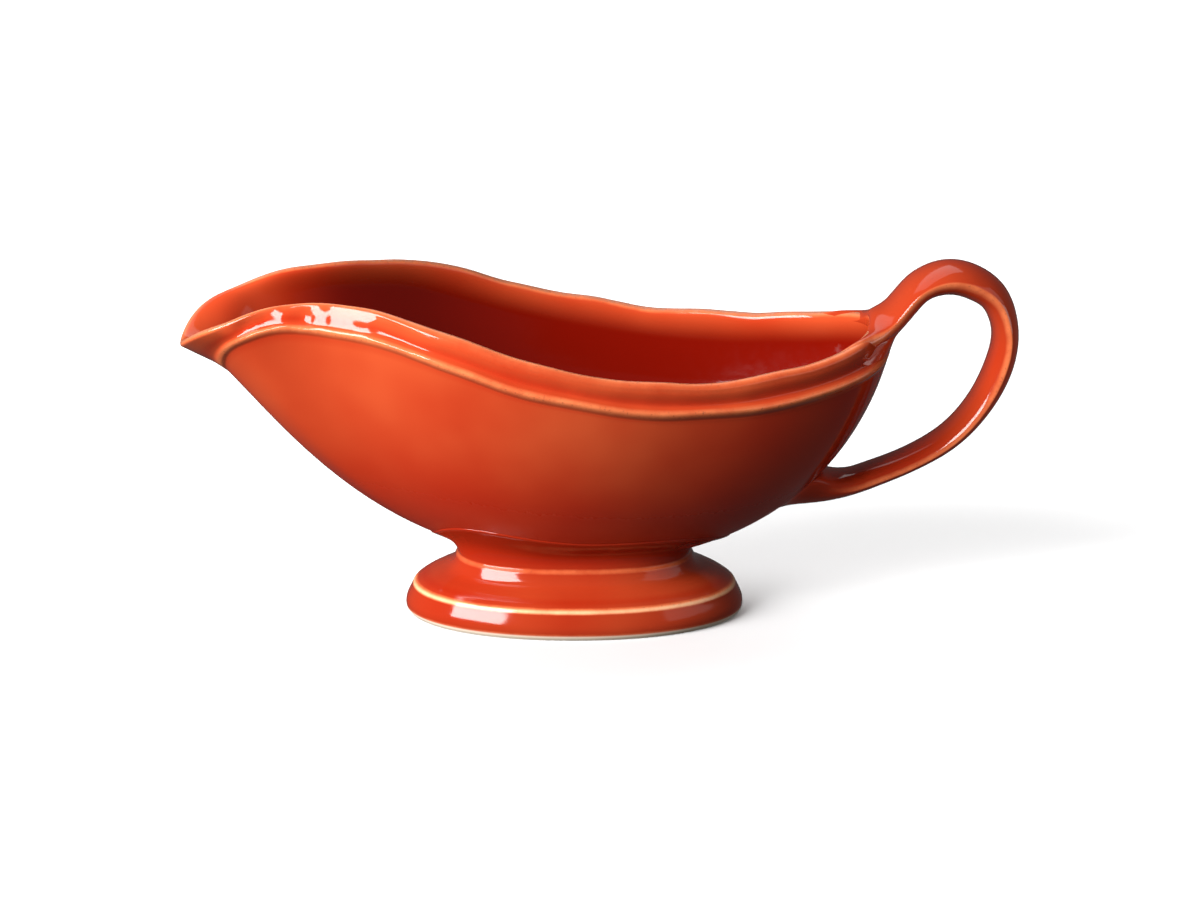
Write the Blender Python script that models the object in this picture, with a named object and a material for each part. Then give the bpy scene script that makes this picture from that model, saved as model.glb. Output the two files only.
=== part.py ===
"""Footed gravy boat in glazed stoneware: bowl with pouring lip, hollow oval foot and strap handle.

Frame: +Z up, +X from the spout to the handle, origin under the middle of the overall box, on the
table. The three pieces are made separately and luted together, with a 0.3 mm line between them.
"""
import math

import bmesh
import bpy
import numpy as np

MM = 0.001
JOINT_GAP = 0.3 * MM

# Overall placing: the foot's centre stands a little towards the spout from the middle of the box.
FOOT_CENTRE_X = -8.0 * MM

# The bowl on one side, from the spout's tip to the handle. Each row holds a point of the lip's
# crest, the point of the bead below it and the knee that bends the wall under the bead, each as
# x from the foot's centre, distance from the middle plane and height above the table.
BOWL_SIDE = (
    (-116.8, 0.0, 84.8, -103.6, 0.0, 76.8, -86.2, 0.0, 58.4),
    (-115.4, 9.6, 87.2, -104.4, 8.4, 79.4, -86.4, 4.2, 59.0),
    (-109.8, 18.6, 92.0, -103.2, 16.8, 85.9, -85.9, 8.8, 60.4),
    (-100.0, 21.6, 96.4, -97.5, 23.0, 91.0, -83.6, 14.0, 61.4),
    (-88.0, 22.0, 100.4, -87.5, 25.6, 94.0, -77.6, 18.6, 61.6),
    (-74.0, 25.0, 101.6, -75.2, 28.9, 94.6, -68.4, 23.2, 61.2),
    (-60.0, 31.8, 101.1, -61.5, 35.6, 93.4, -57.0, 29.8, 60.6),
    (-44.0, 39.8, 98.2, -45.5, 43.8, 89.8, -42.8, 38.2, 59.6),
    (-24.0, 45.9, 91.9, -25.0, 50.2, 83.4, -24.0, 45.6, 57.8),
    (0.0, 48.3, 85.4, 0.0, 52.5, 77.2, 0.0, 49.0, 56.0),
    (26.0, 45.2, 81.6, 26.5, 49.4, 73.4, 25.4, 46.4, 54.6),
    (52.0, 37.6, 81.6, 54.0, 41.4, 73.2, 51.6, 38.6, 54.8),
    (72.0, 27.6, 83.6, 75.4, 30.6, 75.4, 72.0, 27.8, 57.0),
    (84.5, 15.0, 86.6, 89.6, 17.0, 78.4, 85.4, 15.0, 60.0),
    (88.8, 0.0, 88.4, 94.6, 0.0, 80.2, 89.9, 0.0, 61.3),
)

# Wall of the bowl: it thins towards the spout's tip, over the last stretch of the lip
WALL = 5.0 * MM
TIP_WALL = 3.0 * MM
THINS_FROM = 92.0 * MM
THINS_TO = 117.0 * MM
FLOOR_Z = 15.5 * MM
BOWL_CENTRE_X = 2.0 * MM

# Band round the rim: a shallow cove between the rounded lip and a raised bead
COVE_DEPTH = 0.9 * MM
BEAD_PROUD = 1.1 * MM
BEAD_RADIUS = 1.7 * MM

# Oval that bends the floor up into the wall: reach towards the spout, the handle and the sides
HIP_SPOUT = 60.0 * MM
HIP_REAR = 70.0 * MM
HIP_SIDE = 32.5 * MM

# Foot: height, half length and half width of each ring, from the bowl down to the table
FOOT_OUTSIDE = (
    (25.6, 44.0, 26.6),
    (23.4, 40.6, 24.8),
    (21.2, 37.4, 23.3),
    (19.6, 35.5, 22.6),
    (18.4, 35.1, 22.7),
    (17.5, 35.7, 23.4),
    (16.4, 36.2, 23.9),
    (15.2, 36.9, 24.5),
    (14.1, 38.0, 25.3),
    (13.1, 39.7, 26.5),
    (11.8, 42.8, 28.6),
    (10.6, 45.4, 30.3),
    (9.6, 47.1, 31.4),
    (8.8, 48.2, 32.2),
    (8.1, 48.8, 32.6),
    (7.2, 49.2, 33.0),
    (3.8, 50.8, 34.2),
    (1.6, 51.0, 34.3),
    (0.4, 50.3, 33.8),
)
FOOT_SEAT = (0.0, 49.4, 33.1)
FOOT_INSIDE = (
    (0.0, 45.6, 29.6),
    (1.2, 44.8, 28.9),
    (6.0, 43.2, 27.6),
    (9.6, 39.4, 24.6),
    (12.2, 34.0, 20.2),
    (13.6, 30.4, 17.2),
)
# The foot runs on into the bowl by these rings, until the bowl trims it
FOOT_TOP = (29.0, 48.5, 30.0)
FOOT_TOP_INSIDE = (22.0, 28.0, 15.0)
FOOT_SQUARENESS = 2.12

# Handle: middle line in the plane of symmetry, with width and thickness there
HANDLE_LINE = (
    (86.0, 79.6, 31.0, 13.0),
    (92.6, 86.2, 28.0, 11.2),
    (97.6, 92.2, 25.0, 7.8),
    (103.6, 98.8, 24.0, 8.0),
    (111.8, 101.4, 23.6, 9.6),
    (119.7, 99.5, 22.6, 10.0),
    (126.4, 94.2, 21.4, 9.0),
    (129.6, 83.6, 20.4, 7.8),
    (127.4, 72.2, 19.6, 8.2),
    (121.4, 60.8, 19.0, 7.4),
    (112.6, 51.4, 18.6, 6.8),
    (100.4, 44.4, 18.6, 6.4),
    (87.2, 39.3, 19.0, 6.8),
    (77.0, 36.7, 19.6, 7.4),
    (67.0, 34.4, 20.0, 6.8),
    (58.0, 34.6, 20.0, 7.0),
)
OUTER_FACE_POWER = 2.0
INNER_FACE_POWER = 2.6

# Fineness of the mesh
AROUND = 64
WALL_SHARES = (0.16, 0.30, 0.42, 0.52, 0.62, 0.71, 0.79, 0.86, 0.92, 0.965)
BAND_SHARES = (0.30, 0.55, 0.80, 1.0)
BEAD_STEPS = 5
LIP_STEPS = 5
STRAP_RINGS = 50
STRAP_SIDES = 20
ARC_SAMPLES = 2001

GLAZE = (0.62, 0.075, 0.022, 1.0)
GLAZE_ROUGHNESS = 0.12


def closed_spline(points, count):
    """Smooth closed curve (second derivative continuous) through the points, at even spacing."""
    points = np.asarray(points, float)
    number = len(points)
    chords = np.linalg.norm(np.roll(points, -1, 0) - points, axis=1)
    knots = np.concatenate([[0.0], np.cumsum(chords)])
    system = np.zeros((number, number))
    right = np.zeros_like(points)
    for i in range(number):
        before, after = chords[i - 1], chords[i]
        system[i, (i - 1) % number] += before
        system[i, i] += 2.0 * (before + after)
        system[i, (i + 1) % number] += after
        rise_after = (points[(i + 1) % number] - points[i]) / after
        rise_before = (points[i] - points[i - 1]) / before
        right[i] = 6.0 * (rise_after - rise_before)
    bends = np.linalg.solve(system, right)

    def at(place):
        place = np.mod(place, knots[-1])
        k = np.clip(np.searchsorted(knots, place, side="right") - 1, 0, number - 1)
        width = chords[k][:, None]
        a = (knots[k + 1] - place)[:, None]
        b = (place - knots[k])[:, None]
        nxt = (k + 1) % number
        return (bends[k] * a ** 3 / (6 * width) + bends[nxt] * b ** 3 / (6 * width)
                + (points[k] / width - bends[k] * width / 6) * a
                + (points[nxt] / width - bends[nxt] * width / 6) * b)

    fine = np.linspace(0.0, knots[-1], ARC_SAMPLES)
    steps = np.linalg.norm(np.diff(at(fine), axis=0), axis=1)
    length = np.concatenate([[0.0], np.cumsum(steps)])
    return at(np.interp(np.arange(count) / count * length[-1], length, fine))


def unit(vectors):
    return vectors / np.linalg.norm(vectors, axis=-1)[..., None]


def blend(a, b, share):
    return a + (b - a) * share


def smooth_step(value, start, end):
    share = np.clip((value - start) / (end - start), 0.0, 1.0)
    return share * share * (3.0 - 2.0 * share)


def level_normals(outline):
    """Level unit directions square to a closed outline, pointing away from its middle."""
    tangent = np.roll(outline, -1, 0) - np.roll(outline, 1, 0)
    outward = np.stack([-tangent[:, 1], tangent[:, 0], np.zeros(len(outline))], axis=1)
    outward = unit(outward)
    if np.sum(outward[:, 1] * outline[:, 1]) < 0.0:
        outward = -outward
    return outward


def bowl_surface():
    """Rings of the bowl's plain outer surface from the floor to the lip, with the lip's frame."""
    half = np.array(BOWL_SIDE) * MM
    mirrored = half[-2:0:-1] * (1.0, -1.0, 1.0, 1.0, -1.0, 1.0, 1.0, -1.0, 1.0)
    stations = closed_spline(np.vstack([half, mirrored]), AROUND)
    crest, bead, knee = stations[:, :3], stations[:, 3:6], stations[:, 6:]
    tip = smooth_step(-crest[:, 0], THINS_FROM, THINS_TO)
    wall = blend(WALL, TIP_WALL, tip)
    along = unit(np.roll(crest, -1, 0) - np.roll(crest, 1, 0))
    band_up = crest - bead
    band_up = unit(band_up - along * np.sum(band_up * along, axis=1)[:, None])
    band_out = np.cross(band_up, along)
    lip_edge = crest - band_up * (wall / 2)[:, None] + band_out * (wall / 2)[:, None]

    outward = level_normals(bead)
    floor = np.array([BOWL_CENTRE_X, 0.0, FLOOR_Z])
    way = unit((knee - floor) * (1.0, 1.0, 0.0))
    length = np.where(way[:, 0] < 0.0, HIP_SPOUT, HIP_REAR)
    hip = floor + way / np.hypot(way[:, 0] / length, way[:, 1] / HIP_SIDE)[:, None]

    rings = []
    for s in WALL_SHARES + (1.0,):
        a, b, c, d = (1 - s) ** 3, 3 * s * (1 - s) ** 2, 3 * s * s * (1 - s), s ** 3
        rings.append(floor * a + hip * b + knee * c + bead * d)
    for s in BAND_SHARES:
        rings.append(blend(bead, lip_edge, s))
    return np.array(rings), outward, band_up, band_out, wall


def ring_normals(rings):
    """Unit normals of a stack of closed rings, pointing away from the bowl's inside."""
    along = np.roll(rings, -1, 1) - np.roll(rings, 1, 1)
    across = np.gradient(rings, axis=0)
    normals = unit(np.cross(across, along))
    middle = len(rings) // 2
    if np.sum(normals[middle, :, 2]) > 0.0:
        normals = -normals
    return normals


def bowl_rings():
    """Outer rings from the floor to the lip, and inner rings from the lip to the floor."""
    plain, outward, band_up, band_out, wall = bowl_surface()
    normals = ring_normals(plain)
    wall_count = len(WALL_SHARES)
    outer = list(plain[:wall_count])

    # the bead: a half round laid along the joint of the wall and the band
    below = unit(plain[wall_count - 1] - plain[wall_count])
    for step in range(BEAD_STEPS):
        angle = math.pi * (step + 0.5) / BEAD_STEPS
        side = math.cos(angle)
        lift = math.sin(angle)
        run = np.where(side > 0.0, below, band_up)
        outer.append(plain[wall_count] + run * abs(side) * BEAD_RADIUS
                     + normals[wall_count] * lift * BEAD_PROUD)

    # the band, a shallow cove
    for k, share in enumerate(BAND_SHARES):
        dip = COVE_DEPTH * math.sin(math.pi * share)
        outer.append(plain[wall_count + 1 + k] - band_out * dip)

    # the rounded lip
    radius = (wall / 2)[:, None]
    centre = plain[-1] - band_out * radius
    for step in range(1, LIP_STEPS + 1):
        angle = math.pi * step / (LIP_STEPS + 1)
        outer.append(centre + band_out * radius * math.cos(angle) + band_up * radius * math.sin(angle))

    # the inside, one wall's thickness from the plain outside
    inner = []
    lip_inside = plain[-1] - band_out * wall[:, None]
    collar_inside = plain[wall_count] - outward * wall[:, None]
    for share in reversed(BAND_SHARES):
        inner.append(blend(collar_inside, lip_inside, share))
    inner.append(collar_inside)
    for k in range(wall_count - 1, -1, -1):
        inner.append(plain[k] - normals[k] * wall[:, None])
    return outer, inner


def mesh_object(name, verts, faces):
    """One closed mesh with its own glaze and its faces turned outwards."""
    mesh = bpy.data.meshes.new(name)
    mesh.from_pydata([tuple(v) for v in verts], [], faces)
    work = bmesh.new()
    work.from_mesh(mesh)
    bmesh.ops.recalc_face_normals(work, faces=work.faces)
    if work.calc_volume(signed=True) < 0.0:
        bmesh.ops.reverse_faces(work, faces=work.faces)
    work.to_mesh(mesh)
    work.free()
    mesh.shade_smooth()
    material = bpy.data.materials.new(name + "_glaze")
    material.use_nodes = True
    shader = material.node_tree.nodes["Principled BSDF"]
    shader.inputs["Base Color"].default_value = GLAZE
    shader.inputs["Roughness"].default_value = GLAZE_ROUGHNESS
    mesh.materials.append(material)
    thing = bpy.data.objects.new(name, mesh)
    bpy.context.scene.collection.objects.link(thing)
    thing.location.x = FOOT_CENTRE_X
    return thing


def skin(rings, first_pole=None, last_pole=None, closed=False):
    """Vertices and faces of a stack of rings, ended by poles or joined end to start."""
    count = len(rings[0])
    verts = [point for ring in rings for point in ring]
    faces = []
    layers = len(rings) if closed else len(rings) - 1
    for i in range(layers):
        a, b = i * count, ((i + 1) % len(rings)) * count
        for j in range(count):
            k = (j + 1) % count
            faces.append((a + j, a + k, b + k, b + j))
    for pole, start in ((first_pole, 0), (last_pole, (len(rings) - 1) * count)):
        if pole is not None:
            verts.append(pole)
            tip = len(verts) - 1
            for j in range(count):
                faces.append((start + j, start + (j + 1) % count, tip))
    return verts, faces


def make_bowl():
    outer, inner = bowl_rings()
    under = (BOWL_CENTRE_X, 0.0, FLOOR_Z)
    inside = (BOWL_CENTRE_X, 0.0, FLOOR_Z + WALL)
    verts, faces = skin(outer + inner, under, inside)
    return mesh_object("bowl", verts, faces)


def make_cutter():
    """The bowl's outside grown by the joint gap and closed over the mouth; it trims its neighbours."""
    outer, _ = bowl_rings()
    rings = np.array(outer[:-(LIP_STEPS // 2)])
    rings = rings + ring_normals(rings) * JOINT_GAP
    top = rings[-1] + (0.0, 0.0, JOINT_GAP)
    lid = top.mean(axis=0)
    verts, faces = skin(list(rings) + [top], (BOWL_CENTRE_X, 0.0, FLOOR_Z - JOINT_GAP), lid)
    cutter = mesh_object("trim_to_bowl", verts, faces)
    cutter.hide_render = True
    cutter.display_type = "WIRE"
    return cutter


def trim(thing, cutter):
    cut = thing.modifiers.new("trim", "BOOLEAN")
    cut.operation = "DIFFERENCE"
    cut.solver = "MANIFOLD"
    cut.object = cutter


def oval(height, half_length, half_width):
    """One ring of the foot: a soft-cornered oval."""
    angles = np.arange(AROUND) / AROUND * 2.0 * math.pi
    power = 2.0 / FOOT_SQUARENESS
    x = half_length * np.sign(np.cos(angles)) * np.abs(np.cos(angles)) ** power
    y = half_width * np.sign(np.sin(angles)) * np.abs(np.sin(angles)) ** power
    return np.stack([x, y, np.full(AROUND, height)], axis=1)


def make_foot(cutter):
    """A hollow ring of clay, open below and trimmed to the underside of the bowl."""
    profile = (FOOT_TOP,) + FOOT_OUTSIDE + (FOOT_SEAT,) + FOOT_INSIDE + (FOOT_TOP_INSIDE,)
    rings = [oval(*(MM * value for value in ring)) for ring in profile]
    verts, faces = skin(rings, closed=True)
    foot = mesh_object("foot", verts, faces)
    trim(foot, cutter)
    return foot


def open_spline(points, count):
    """Catmull-Rom curve through the rows of points, evenly spaced in the row number."""
    points = np.asarray(points, float)
    padded = np.vstack([2 * points[0] - points[1], points, 2 * points[-1] - points[-2]])
    places = np.linspace(0.0, len(points) - 1.0, count)
    result = []
    for place in places:
        k = min(int(place), len(points) - 2)
        t = place - k
        a, b, c, d = padded[k:k + 4]
        result.append(0.5 * (2 * b + (c - a) * t + (2 * a - 5 * b + 4 * c - d) * t * t
                             + (3 * b - a - 3 * c + d) * t ** 3))
    return np.array(result)


def make_handle(cutter):
    """A strap that leaves the rim, arches over the fingers and lands low on the bowl."""
    line = open_spline(np.array(HANDLE_LINE) * MM, STRAP_RINGS)
    forward = unit(np.gradient(line[:, :2], axis=0))
    angles = np.arange(STRAP_SIDES) / STRAP_SIDES * 2.0 * math.pi
    rings = []
    for (x, z, width, thick), (fx, fz) in zip(line, forward):
        away = np.array([-fz, 0.0, fx])
        ring = []
        for angle in angles:
            power = 2.0 / (OUTER_FACE_POWER if math.sin(angle) > 0.0 else INNER_FACE_POWER)
            side = math.copysign(abs(math.cos(angle)) ** power, math.cos(angle)) * width / 2
            lift = math.copysign(abs(math.sin(angle)) ** power, math.sin(angle)) * thick / 2
            ring.append(np.array([x, 0.0, z]) + away * lift + np.array([0.0, side, 0.0]))
        rings.append(ring)
    ends = [(line[0][0], 0.0, line[0][1]), (line[-1][0], 0.0, line[-1][1])]
    verts, faces = skin(rings, ends[0], ends[1])
    handle = mesh_object("handle", verts, faces)
    trim(handle, cutter)
    return handle


def main():
    for thing in list(bpy.data.objects):
        bpy.data.objects.remove(thing, do_unlink=True)
    make_bowl()
    cutter = make_cutter()
    make_foot(cutter)
    make_handle(cutter)


main()
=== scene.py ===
"""Looks of the footed gravy boat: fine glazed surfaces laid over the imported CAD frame.

Tables are in mm from the foot's centre: +X to the handle, +Y across the boat, +Z up from the table.
"""

import math

import bmesh
import bpy
import numpy as np
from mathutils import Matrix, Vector, noise
from mathutils.bvhtree import BVHTree


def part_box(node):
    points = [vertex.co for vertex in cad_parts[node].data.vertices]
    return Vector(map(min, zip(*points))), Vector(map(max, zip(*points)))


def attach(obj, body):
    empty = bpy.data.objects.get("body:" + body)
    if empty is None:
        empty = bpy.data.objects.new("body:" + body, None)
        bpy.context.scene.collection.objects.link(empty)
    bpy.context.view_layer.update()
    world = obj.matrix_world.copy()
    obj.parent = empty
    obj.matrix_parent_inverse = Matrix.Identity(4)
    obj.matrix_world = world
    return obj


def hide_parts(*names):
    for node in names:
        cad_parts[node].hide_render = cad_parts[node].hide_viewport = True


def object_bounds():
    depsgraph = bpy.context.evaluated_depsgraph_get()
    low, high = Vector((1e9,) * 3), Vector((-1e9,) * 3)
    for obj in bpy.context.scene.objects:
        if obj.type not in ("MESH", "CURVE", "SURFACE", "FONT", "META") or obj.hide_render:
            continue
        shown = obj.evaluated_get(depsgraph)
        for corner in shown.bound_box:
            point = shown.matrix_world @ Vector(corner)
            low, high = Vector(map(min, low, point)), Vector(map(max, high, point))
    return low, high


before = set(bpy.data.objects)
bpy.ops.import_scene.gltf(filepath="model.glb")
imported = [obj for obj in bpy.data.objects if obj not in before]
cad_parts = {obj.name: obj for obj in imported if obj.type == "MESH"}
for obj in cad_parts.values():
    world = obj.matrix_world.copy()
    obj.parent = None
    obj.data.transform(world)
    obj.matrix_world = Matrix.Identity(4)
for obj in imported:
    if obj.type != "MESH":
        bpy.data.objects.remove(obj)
cad_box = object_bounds()

MM = 0.001
FOOT_LOW, FOOT_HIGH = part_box("foot")
FOOT_X = (FOOT_LOW[0] + FOOT_HIGH[0]) / 2
UP = np.array((0.0, 0.0, 1.0))
ACROSS = np.array((0.0, 1.0, 0.0))
MIRROR = (1.0, -1.0, 1.0)
FULL_TURN = 2.0 * math.pi

# The bowl on one side, from the spout's tip to the handle. Each row holds a point of the lip's
# crest, the bead below it and the knee that bends the wall.
BOWL_SIDE = (
    (-116.8, 0.0, 84.8, -103.6, 0.0, 76.8, -86.2, 0.0, 58.4),
    (-115.4, 9.6, 87.2, -104.4, 8.4, 79.4, -86.4, 4.2, 59.0),
    (-109.8, 18.6, 92.0, -103.2, 16.8, 85.9, -85.9, 8.8, 60.4),
    (-100.0, 21.6, 96.4, -97.5, 23.0, 91.0, -83.6, 14.0, 61.4),
    (-88.0, 22.0, 100.4, -87.5, 25.6, 94.0, -77.6, 18.6, 61.6),
    (-74.0, 25.0, 101.6, -75.2, 28.9, 94.6, -68.4, 23.2, 61.2),
    (-60.0, 31.8, 101.1, -61.5, 35.6, 93.4, -57.0, 29.8, 60.6),
    (-44.0, 39.8, 98.2, -45.5, 43.8, 89.8, -42.8, 38.2, 59.6),
    (-24.0, 45.9, 91.9, -25.0, 50.2, 83.4, -24.0, 45.6, 57.8),
    (0.0, 48.3, 85.4, 0.0, 52.5, 77.2, 0.0, 49.0, 56.0),
    (26.0, 45.2, 81.6, 26.5, 49.4, 73.4, 25.4, 46.4, 54.6),
    (52.0, 37.6, 81.6, 54.0, 41.4, 73.2, 51.6, 38.6, 54.8),
    (72.0, 27.6, 83.6, 75.4, 30.6, 75.4, 72.0, 27.8, 57.0),
    (84.5, 15.0, 86.6, 89.6, 17.0, 78.4, 85.4, 15.0, 60.0),
    (88.8, 0.0, 88.4, 94.6, 0.0, 80.2, 89.9, 0.0, 61.3),
)

# Wall of the bowl: it thins between two distances in front of the foot's middle, and in a belt
# whose centre and half width are measured down from the bead
WALL = 5.0
TIP_WALL = 3.0
TIP_THINS = (92.0, 117.0)
BELT_THINS_BY = 0.3
BELT_THINS = (22.0, 20.0)
FLOOR_Z = 15.5
BOWL_CENTRE_X = 2.0
BOWL_MIDDLE = np.array((BOWL_CENTRE_X, 0.0, FLOOR_Z))
# Oval that bends the floor up into the wall: reach towards the spout, the handle and the sides
HIP_SPOUT = 60.0
HIP_REAR = 70.0
HIP_SIDE = 32.5

# The spout begins between these distances in front of the foot's middle
SPOUT = (36.0, 70.0)
# Outer round of the lip at the spout. Elsewhere it is half the wall.
SPOUT_LIP_ROUND = 1.1
# How far the lip's inner side swings over the inside, in walls
LIP_SWING = 1.3
# The inside meets its plain wall this far below the bead
INNER_DEPTH = 17.0

# Band round the rim, by its reach: the distance over the surface above the bead's middle
BEAD_PROUD = 1.1
BEAD_HALF = 2.3
# The plain wall ends this far before the bead begins
BEAD_MARGIN = 0.5
COVE_DEPTH = 0.9
COVE_REACH = 3.1
SHOULDER_REACH = 6.3
# The band leans from the wall's normal to its own between these reaches
BAND_LEAN = (-3.0, BEAD_HALF)
# At the spout the cove fills up and the bead lies flatter
SPOUT_COVE = 0.1
SPOUT_BEAD = 0.65
# The band's relief dies out this far each side of the spout's tip and of the handle
TIP_FADE = 15.0
ROOT_FADE = 26.0

# Hand-made unevenness of the rim and the band: height and length of its waves. The noise it is
# taken from has cells a little over half as long as a wave, and the lumps use another part of it.
RIM_WAVER = 0.4
CREST_WAVE = 30.0
BEAD_WAVE = 36.0
BEAD_WAVER_SHARE = 0.7
CELLS_IN_A_WAVE = 0.55
BAND_LUMPS = 1.1
LUMP_WAVE = 13.0
LUMPS_AWAY_FROM_SPOUT = 0.1
LUMP_FIELD = (0.0, 0.0, 70.0)
# It dies out towards the spout's tip and the handle
CALM_TIP = (100.0, 114.0)
CALM_HANDLE = (56.0, 74.0)

# Foot: height, half length and half width of each ring, from the neck down to the table
FOOT_OUTSIDE = (
    (19.6, 35.5, 22.6),
    (18.4, 35.1, 22.7),
    (17.5, 35.7, 23.4),
    (16.4, 36.2, 23.9),
    (15.2, 36.9, 24.5),
    (14.1, 38.0, 25.3),
    (13.1, 39.7, 26.5),
    (11.8, 42.8, 28.6),
    (10.6, 45.4, 30.3),
    (9.6, 47.1, 31.4),
    (8.8, 48.2, 32.2),
    (8.1, 48.8, 32.6),
    (7.2, 49.2, 33.0),
    (3.8, 50.8, 34.2),
    (1.6, 51.0, 34.3),
    (0.4, 50.3, 33.8),
)
# Oval where the foot's neck runs out on the bowl: middle, half length and half width. It has the
# shape of the foot's ovals at the neck's height.
NECK_LANDING = (2.0, 45.0, 28.8)
NECK_HEIGHT = 20.0
NECK_RINGS = 16
# How the neck's curve leaves the foot and settles on the bowl, as shares of its length
NECK_LEAD = 0.35
NECK_SWEEP = 0.5
# The seam stands off the bowl by a small step, and the foot goes on below the bowl's surface
SEAM_STEP = 0.3
SEAM_EDGE = 0.6
SEAM_SUNK = 1.2
# The foot was set a few degrees out of line with the bowl
FOOT_TWIST = -3.0
# Outer edge of the flat ring that stands on the table, and the rings of the hollow inside it
FOOT_SEAT = (0.0, 49.4, 33.1)
FOOT_INSIDE = (
    (0.0, 45.6, 29.6),
    (1.2, 44.8, 28.9),
    (6.0, 43.2, 27.6),
    (9.6, 39.4, 24.6),
    (12.2, 34.0, 20.2),
    (13.6, 30.4, 17.2),
)
# Oval where the hollow of the foot ends on the bowl, and how far it goes under the surface
HOLLOW_TOP = (13.6, 29.6, 16.4)
HOLLOW_SUNK = 0.8
# Power of the foot's ovals: 2 is a plain ellipse, and the neck is a little squarer than the base
FOOT_SQUARENESS = 2.12
NECK_SQUARENESS = 2.45
SQUARER_HEIGHTS = (8.0, 16.0)
FOOT_SIDES = 288
FOOT_RINGS_PER_ROW = 6
# A height for rings that lie against the bowl, out of reach of the foot's belts of glaze, where the
# neck's painted shade is full
OUT_OF_REACH = 99.0
BELOW_TABLE = -5.0

# Handle's middle line in the plane of symmetry: x and z, with the strap's width and thickness
HANDLE_LINE = (
    (97.6, 92.2, 25.0, 7.8),
    (103.6, 98.8, 24.0, 8.0),
    (111.8, 101.4, 23.6, 9.6),
    (119.7, 99.5, 22.6, 10.0),
    (126.4, 94.2, 21.4, 9.0),
    (129.6, 83.6, 20.4, 7.8),
    (127.4, 72.2, 19.6, 8.2),
    (121.4, 60.8, 19.0, 7.4),
    (112.6, 51.4, 18.6, 6.8),
    (100.4, 44.4, 18.6, 6.4),
    (87.2, 39.3, 19.0, 6.8),
)
# Rounds of averaging that take the wrinkles out of the strap, the roots' outlines and normals
STRAP_SMOOTHING = 40
LANDING_SMOOTHING = 3
NORMAL_SMOOTHING = 40
# Share of the thickness outside the edges, and the powers that round both faces
STRAP_CROWN = 0.42
OUTER_POWER = 0.72
INNER_POWER = 2.3
# Outline of each root on the bowl, from the strap's outer middle over its edge to its inner middle
UPPER_LANDING = (
    (86.9, 0.0, 84.6),
    (85.2, 8.0, 84.2),
    (81.4, 15.6, 83.6),
    (76.0, 24.4, 84.5),
    (81.6, 22.8, 80.6),
    (88.6, 16.4, 75.6),
    (92.0, 0.0, 71.5),
)
LOWER_LANDING = (
    (57.6, 0.0, 27.4),
    (59.6, 6.0, 28.5),
    (64.8, 10.6, 31.8),
    (70.0, 12.2, 35.4),
    (73.6, 10.8, 38.4),
    (75.2, 6.0, 40.0),
    (75.6, 0.0, 40.6),
)
# How each root leaves the strap, and how long it runs level with the bowl at the outer middle,
# the edges and the inner middle, all as shares of its length
UPPER_LEAD, UPPER_SWEEPS = 0.45, (0.72, 0.55, 0.75)
LOWER_LEAD, LOWER_SWEEPS = 0.60, (0.30, 0.30, 0.12)
# Sine of the angle round the strap where the outer middle's share begins
OUTER_SWEEP_FROM = 0.3
# Each root closes under the bowl's surface: share of the way to its middle, and depth
ROOT_END_SUNK = 0.12
ROOT_CLOSURE = ((0.04, 1.0), (0.15, 2.3), (0.35, 2.4), (0.6, 2.4), (0.85, 2.4))
ROOT_POLE_SUNK = 2.4
ROOT_OUTLINE_STEPS = 240
STRAP_SIDES = 96
STRAP_RINGS = 200
ROOT_RINGS = 28

# Points round the bowl and rings over it. The wall's rings crowd together towards the bead.
AROUND = 384
WALL_RINGS = 64
WALL_CROWDING = 1.2
BEAD_RINGS = 9
BAND_RINGS = 22
LIP_RINGS = 12
INNER_RINGS = 16
# Points that measure a closed curve's length
LENGTH_STEPS = 4000

# Where the glaze changes, and where shade is painted on it. A belt is its strength, centre and half
# width, a slope is its start and end. On the bowl they go by reach, by distance past the lip's crest,
# by depth below the bead or by distance along the boat.
BEAD_THIN = (0.85, -0.1, 2.1)
LIP_THIN_OUTSIDE = (0.9, -1.2, 3.4)
LIP_THIN_INSIDE = (0.9, 0.0, 1.8)
BAND_THIN, BAND_THIN_FROM, BAND_THIN_TO = 0.45, 3.5, -1.0
LIP_WORN_OUTSIDE = (1.0, -0.6, 1.7)
LIP_WORN_INSIDE = (1.0, 0.0, 1.0)
# Painted shade: a dark line under the bead
SHADE_UNDER_BEAD = (0.35, -2.6, 1.1)
POOL_IN_COVE = (0.6, 3.4, 2.2)
# Painted shade, darker towards the middle of the underside
SHADE_LOW, SHADE_LOW_SLOPE = 0.85, (12.0, 52.0)
# Painted shade, darker towards the handle below the bead
SHADE_REAR, SHADE_REAR_SLOPE, SHADE_REAR_BELOW = 0.9, (10.0, 85.0), -3.0
# Painted shade on the inside, from just past the crest down; it is weaker towards the spout
INSIDE_SHADE_SLOPE = (0.5, 10.0)
SPOUT_PALER, SPOUT_PALER_SLOPE = 0.5, (66.0, 100.0)
DULL_SLOPE = (36.0, 54.0)
# On the foot they go by height: the step line, the neck's line and the edge at the bottom
STEP_THIN = (1.0, 8.5, 1.3)
NECK_THIN = (0.45, 17.9, 1.3)
BOTTOM_THIN = (0.5, 1.2, 1.6)
STEP_PALE = (0.8, 8.35, 0.75)
# Painted shade over the whole foot
FOOT_SHADE = 0.4
# Painted shade, darker up the neck towards the bowl above it
NECK_SHADE, NECK_SHADE_SLOPE = 0.5, (15.0, 22.0)
SKIRT_POOL = (0.3, 10.6, 1.3)
BARE_BELOW = (-1.7, -1.1)
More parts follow.
